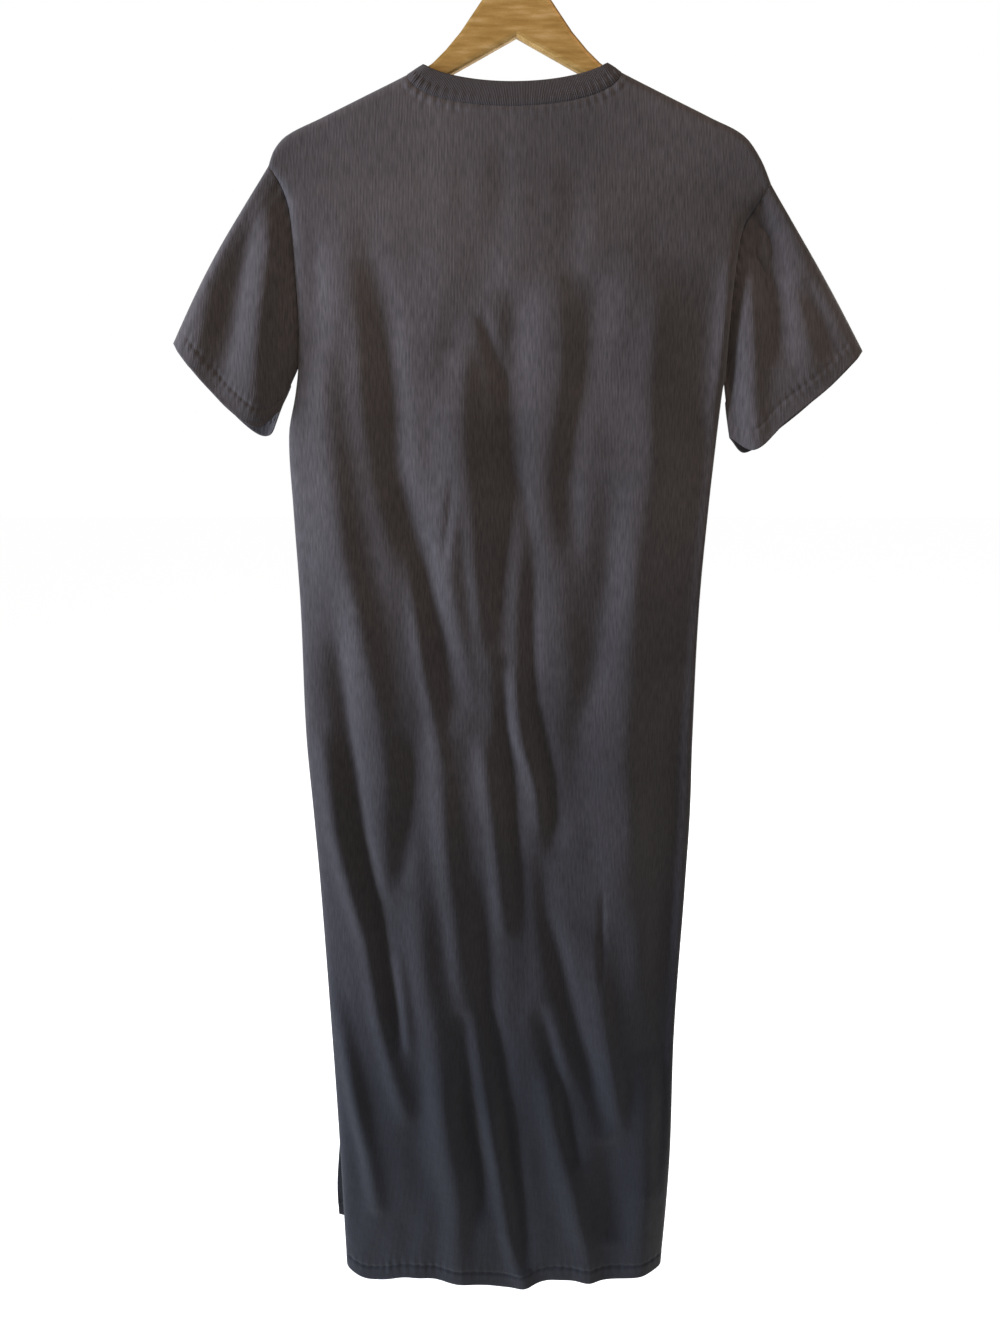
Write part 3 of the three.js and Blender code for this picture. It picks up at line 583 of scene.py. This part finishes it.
def washed_jersey(name, faded, deep, hem_shade_colour):
    """Washed black cotton single jersey: matt, with a soft fuzz, faded in uneven patches.

    Its wales are 0.9 mm apart, too fine to show, so they are drawn 1.4 mm apart. Slubs of uneven yarn,
    14 mm long, fleck it lighter and darker along the wales. Painted shade turns it darker and navy towards
    the hem.
    """
    material, tree, shader = new_material(name)
    place = add_node(tree, "ShaderNodeTexCoord")
    grain = add_node(tree, "ShaderNodeMapping", Vector=place.outputs["UV"], Scale=(1 / WALE, 1 / COURSE, 1))
    patches = add_node(tree, "ShaderNodeTexNoise", Vector=place.outputs["Object"], Scale=5.0, Detail=4.0)
    fading = add_node(tree, "ShaderNodeValToRGB", n0=patches.outputs["Fac"],
                      stops=[(0.3, linear(deep)), (0.7, linear(faded))])
    # painted shade: further down the dress the colour is mixed towards a dark navy black, standing in for
    # shade towards the hem
    height = add_node(tree, "ShaderNodeSeparateXYZ", Vector=place.outputs["Object"])
    shade_share = add_node(tree, "ShaderNodeMapRange", Value=height.outputs["Z"], From_Min=PAINTED_SHADE_FROM,
                     From_Max=PAINTED_SHADE_TO)
    shaded_colour = add_node(tree, "ShaderNodeMix", {"data_type": "RGBA"}, n0=shade_share.outputs["Result"],
                     n6=fading.outputs["Color"], n7=linear(hem_shade_colour))
    drawn = add_node(tree, "ShaderNodeMapping", Vector=place.outputs["UV"],
                     Scale=(1 / SLUB_WIDE, 1 / SLUB_LONG, 1))
    slubs = add_node(tree, "ShaderNodeTexNoise", Vector=drawn.outputs["Vector"], Scale=1.0, Detail=3.0)
    flecks = add_node(tree, "ShaderNodeValToRGB", n0=slubs.outputs["Fac"],
                      stops=[(0.3, (0.7, 0.7, 0.7, 1)), (0.7, (1.32, 1.32, 1.32, 1))])
    colour = add_node(tree, "ShaderNodeMix", {"data_type": "RGBA", "blend_type": "MULTIPLY"}, n0=1.0,
                      n6=shaded_colour.outputs[2], n7=flecks.outputs["Color"])
    tree.links.new(colour.outputs[2], shader.inputs["Base Color"])
    wales = add_node(tree, "ShaderNodeTexWave", {"wave_type": "BANDS", "bands_direction": "X"},
                     Vector=grain.outputs["Vector"], Scale=ONE_BAND, Distortion=1.5)
    crumple = add_node(tree, "ShaderNodeTexNoise", Vector=place.outputs["Object"], Scale=60.0, Detail=5.0)
    soft = add_node(tree, "ShaderNodeBump", Height=crumple.outputs["Fac"], Strength=0.35, Distance=0.002)
    knit = add_node(tree, "ShaderNodeBump", Height=wales.outputs["Fac"], Strength=0.35, Distance=0.0004,
                    Normal=soft.outputs["Normal"])
    tree.links.new(knit.outputs["Normal"], shader.inputs["Normal"])
    shader.inputs["Roughness"].default_value = 0.88
    shader.inputs["Specular IOR Level"].default_value = 0.25
    shader.inputs["Sheen Weight"].default_value = 0.18
    shader.inputs["Sheen Roughness"].default_value = 0.5
    return material


def rib_knit(name, faded, deep):
    """Washed cotton 1x1 rib: matt, with cords 1.6 mm apart that cross the band, and painted shade darkening
    the grooves between them.
    """
    material, tree, shader = new_material(name)
    place = add_node(tree, "ShaderNodeTexCoord")
    grain = add_node(tree, "ShaderNodeMapping", Vector=place.outputs["UV"], Scale=(1 / RIB_CORD, 1, 1))
    cords = add_node(tree, "ShaderNodeTexWave", {"wave_type": "BANDS", "bands_direction": "X"},
                     Vector=grain.outputs["Vector"], Scale=ONE_BAND, Distortion=0.6)
    # painted shade: the grooves between the cords, where the bump sinks, are coloured darker
    colour = add_node(tree, "ShaderNodeValToRGB", n0=cords.outputs["Fac"],
                      stops=[(0.1, linear(deep)), (0.8, linear(faded))])
    tree.links.new(colour.outputs["Color"], shader.inputs["Base Color"])
    bump = add_node(tree, "ShaderNodeBump", Height=cords.outputs["Fac"], Strength=0.6, Distance=0.0008)
    tree.links.new(bump.outputs["Normal"], shader.inputs["Normal"])
    shader.inputs["Roughness"].default_value = 0.9
    shader.inputs["Specular IOR Level"].default_value = 0.25
    shader.inputs["Sheen Weight"].default_value = 0.15
    return material


def cotton_thread(name, colour):
    """Matt spun cotton sewing thread, a shade lighter than the cloth."""
    material, tree, shader = new_material(name)
    place = add_node(tree, "ShaderNodeTexCoord")
    twist = add_node(tree, "ShaderNodeTexNoise", Vector=place.outputs["Object"], Scale=1500.0)
    tone = add_node(tree, "ShaderNodeValToRGB", n0=twist.outputs["Fac"],
                    stops=[(0.3, linear("#2b2829")), (0.7, linear(colour))])
    tree.links.new(tone.outputs["Color"], shader.inputs["Base Color"])
    shader.inputs["Roughness"].default_value = 0.8
    return material


def gold_painted_wood(name):
    """Gold paint brushed on wood: metallic, over long grain, rubbed thin in patches, with tiny painted
    glints.
    """
    material, tree, shader = new_material(name)
    place = add_node(tree, "ShaderNodeTexCoord")
    grain = add_node(tree, "ShaderNodeMapping", Vector=place.outputs["Object"], Scale=(30, 200, 200))
    streaks = add_node(tree, "ShaderNodeTexNoise", Vector=grain.outputs["Vector"], Scale=1.2, Detail=6.0)
    paint = add_node(tree, "ShaderNodeValToRGB", n0=streaks.outputs["Fac"],
                     stops=[(0.3, linear("#a07a38")), (0.55, linear("#b89250")), (0.75, linear("#d0ad74"))])
    # painted glints: tiny flecks whose colour is painted brighter than the paint round them
    flakes = add_node(tree, "ShaderNodeTexVoronoi", Vector=place.outputs["Object"], Scale=900.0)
    painted_glints = add_node(tree, "ShaderNodeValToRGB", n0=flakes.outputs["Distance"],
                       stops=[(0.0, (1.45, 1.42, 1.35, 1)), (0.35, (1, 1, 1, 1))])
    colour = add_node(tree, "ShaderNodeMix", {"data_type": "RGBA", "blend_type": "MULTIPLY"}, n0=0.8,
                      n6=paint.outputs["Color"], n7=painted_glints.outputs["Color"])
    tree.links.new(colour.outputs[2], shader.inputs["Base Color"])
    bump = add_node(tree, "ShaderNodeBump", Height=streaks.outputs["Fac"], Strength=0.3, Distance=0.0006)
    tree.links.new(bump.outputs["Normal"], shader.inputs["Normal"])
    shader.inputs["Metallic"].default_value = 0.25
    shader.inputs["Roughness"].default_value = 0.42
    return material


def plated_wire(name):
    """Bright nickel-plated steel wire with faint drawing lines along it."""
    material, tree, shader = new_material(name)
    place = add_node(tree, "ShaderNodeTexCoord")
    lines = add_node(tree, "ShaderNodeTexNoise", Vector=place.outputs["Object"], Scale=400.0, Detail=3.0)
    tone = add_node(tree, "ShaderNodeValToRGB", n0=lines.outputs["Fac"],
                    stops=[(0.3, linear("#b9b8b4")), (0.7, linear("#dad9d6"))])
    tree.links.new(tone.outputs["Color"], shader.inputs["Base Color"])
    shader.inputs["Metallic"].default_value = 1.0
    shader.inputs["Roughness"].default_value = 0.22
    return material


# ---------------------------------------------------------------- the dress
# its last colour is the dark navy of the painted shade towards the hem
jersey = washed_jersey("washed black jersey", "#5b5556", "#443f40", "#1b1d26")
# its last colour is the painted shade in the grooves between the cords
rib = rib_knit("washed black rib", "#544d4d", "#383333")
thread = cotton_thread("faded black cotton thread", "#7b7270")

back_grid = panel_grid(BACK)
front_grid = panel_grid(FRONT)
sleeve_grids = {hand: sleeve_grid(hand, back_grid, front_grid) for hand in ("left", "right")}
neck_grid = band_grid()


# name, outer points, whether they close in a ring, the side that faces out, thickness, material, node, slot
PIECES = [
    ("back_cloth", back_grid, False, BACK, CLOTH, jersey, "back_panel", "jersey"),
    ("front_cloth", front_grid, False, FRONT, CLOTH, jersey, "front_panel", "jersey"),
    ("left_sleeve_cloth", sleeve_grids["left"], True, BACK, CLOTH, jersey, "left_sleeve", "jersey"),
    ("right_sleeve_cloth", sleeve_grids["right"], True, BACK, CLOTH, jersey, "right_sleeve", "jersey"),
    ("neckband_rib", neck_grid, True, BACK, RIB, rib, "neckband", "rib"),
]
cloths = {name: shell(name, *rest) for name, *rest in PIECES}


def surface_line(side, x, z):
    """Points on the dress's outer face at (x, z), with the outward normal at each."""
    here = depth(side, x, z)
    lean_x = (depth(side, x + 1, z) - depth(side, x - 1, z)) / 2
    lean_z = (depth(side, x, z + 1) - depth(side, x, z - 1)) / 2
    points = np.stack([x, side * (here + STITCH_LIFT), z], axis=-1)
    ups = np.stack([-lean_x, np.full_like(x, side), -lean_z], axis=-1)
    return points, ups / np.linalg.norm(ups, axis=-1, keepdims=True)


def neck_stitching():
    """Two needle lines below the neck seam, with the looper's rungs between them."""
    loops = []
    for side in (BACK, FRONT):
        x, z = neck_point(side, np.linspace(0.03, 0.97, 160), NECK_SEAM)
        dx, dz = np.gradient(x), np.gradient(z)
        away = np.stack([dz, -dx]) / np.hypot(dx, dz)
        near, far = (surface_line(side, x + gap * away[0], z + gap * away[1]) for gap in TOPSTITCH)
        loops += dashes(*near, *NECK_STITCH) + dashes(*far, *NECK_STITCH)
        rungs = zip(dashes(*near, NECK_STITCH[0], 0), dashes(*far, NECK_STITCH[0], RUNG))
        loops += [(inner[0], outer[1], inner[2]) for inner, outer in rungs]
    return loops


def hem_stitching():
    """Two needle lines along the hems of the back and the front."""
    loops = []
    for side in (BACK, FRONT):
        x = np.linspace(edge_x("left", -1440) + 6, edge_x("right", -1440) - 6, 260)
        for gap in HEM_LINES:
            loops += dashes(*surface_line(side, x, hem_z(side, x) + gap), *HEM_STITCH)
    return loops


def cuff_stitching(grid):
    """Two needle lines round a sleeve's cuff, apart from its fold and its underarm."""
    loops = []
    ups = normals(grid, True) * (1 if faces_out(grid, True, BACK) else -1)
    length = np.linalg.norm(grid[-1] - grid[0], axis=1).mean()
    count = grid.shape[1] // 2
    for gap in HEM_LINES:
        row = int(round(SLEEVE_ROWS * (1 - gap / length)))
        for part in (slice(6, count - 4), slice(count + 4, -6)):
            loops += dashes(grid[row, part], ups[row, part], *HEM_STITCH)
    return loops


stitches("neck_topstitching", neck_stitching(), 0.3, thread)
stitches("hem_stitching", hem_stitching(), 0.28, thread)
for hand, grid in sleeve_grids.items():
    stitches(hand + "_cuff_stitching", cuff_stitching(grid), 0.28, thread)


# ---------------------------------------------------------------- floor, light and camera
def stage_plane(name, size, height, colour):
    mesh = bpy.data.meshes.new(name)
    half = size / 2
    corners = [(-half, -half, height), (half, -half, height), (half, half, height), (-half, half, height)]
    mesh.from_pydata(corners, [], [(0, 1, 2, 3)])
    plane = bpy.data.objects.new(name, mesh)
    bpy.context.scene.collection.objects.link(plane)
    material, _, shader = new_material(name + " paint")
    shader.inputs["Base Color"].default_value = linear(colour)
    shader.inputs["Roughness"].default_value = 0.9
    shader.inputs["Emission Color"].default_value = (1, 1, 1, 1)
    shader.inputs["Emission Strength"].default_value = 0.8
    mesh.materials.append(material)
    plane.visible_diffuse = False  # the pale floor shows, but doesn't light the dress from below


def soft_light(name, place, target, size, power, colour):
    data = bpy.data.lights.new(name, "AREA")
    data.shape = "RECTANGLE"
    data.size, data.size_y = size
    data.energy = power
    data.color = linear(colour)[:3]
    lamp = bpy.data.objects.new(name, data)
    lamp.location = place
    aim = np.array(target) - np.array(place)
    lamp.rotation_euler = (math.atan2(math.hypot(aim[0], aim[1]), -aim[2]), 0, math.atan2(-aim[0], aim[1]))
    bpy.context.scene.collection.objects.link(lamp)


FILL = 0.2  # the white background lights the dress this much
LENS, PITCH = 27.09, 13  # mm, and degrees downwards
CAMERA_PLACE = (-0.015, -1.02, -0.483)

stage_plane("floor", 30, -1.75, "#fafafa")
soft_light("cool window", (-2.1, -0.62, -0.62), (0, 0, -0.7), (0.8, 1.4), 72, "#dfeaff")
soft_light("warm ceiling", (0.3, -1.3, 1.3), (0, 0, -0.2), (1.4, 1.0), 16, "#ffdfbe")
soft_light("far side", (1.6, 2.4, -0.3), (0, 0, -0.7), (1.2, 1.6), 60, "#ffffff")
world = bpy.data.worlds.new("studio")
world.use_nodes = True
sky = world.node_tree
dim = sky.nodes["Background"]
dim.inputs["Color"].default_value = (1, 1, 1, 1)
dim.inputs["Strength"].default_value = FILL
bright = add_node(sky, "ShaderNodeBackground", Color=(1, 1, 1, 1), Strength=1.0)
seen = add_node(sky, "ShaderNodeLightPath")
both = add_node(sky, "ShaderNodeMixShader", n0=seen.outputs["Is Camera Ray"], n1=dim.outputs[0],
                n2=bright.outputs[0])
sky.links.new(both.outputs[0], sky.nodes["World Output"].inputs["Surface"])
scene = bpy.context.scene
scene.world = world
scene.view_settings.view_transform = "Standard"

camera_data = bpy.data.cameras.new("camera")
camera_data.sensor_width = 36
camera_data.lens = LENS
camera = bpy.data.objects.new("camera", camera_data)
camera.location = CAMERA_PLACE
camera.rotation_euler = (math.radians(90 - PITCH), 0, 0)
scene.collection.objects.link(camera)
scene.camera = camera

# ---------------------------------------------------------------- hanger
HANGER = {
    "hanger_bow": gold_painted_wood("gold-painted wood"),
    "hanger_hook": plated_wire("nickel-plated wire"),
}
for node, material in HANGER.items():
    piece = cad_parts[node]
    piece.data.materials.clear()
    piece.data.materials.append(material)
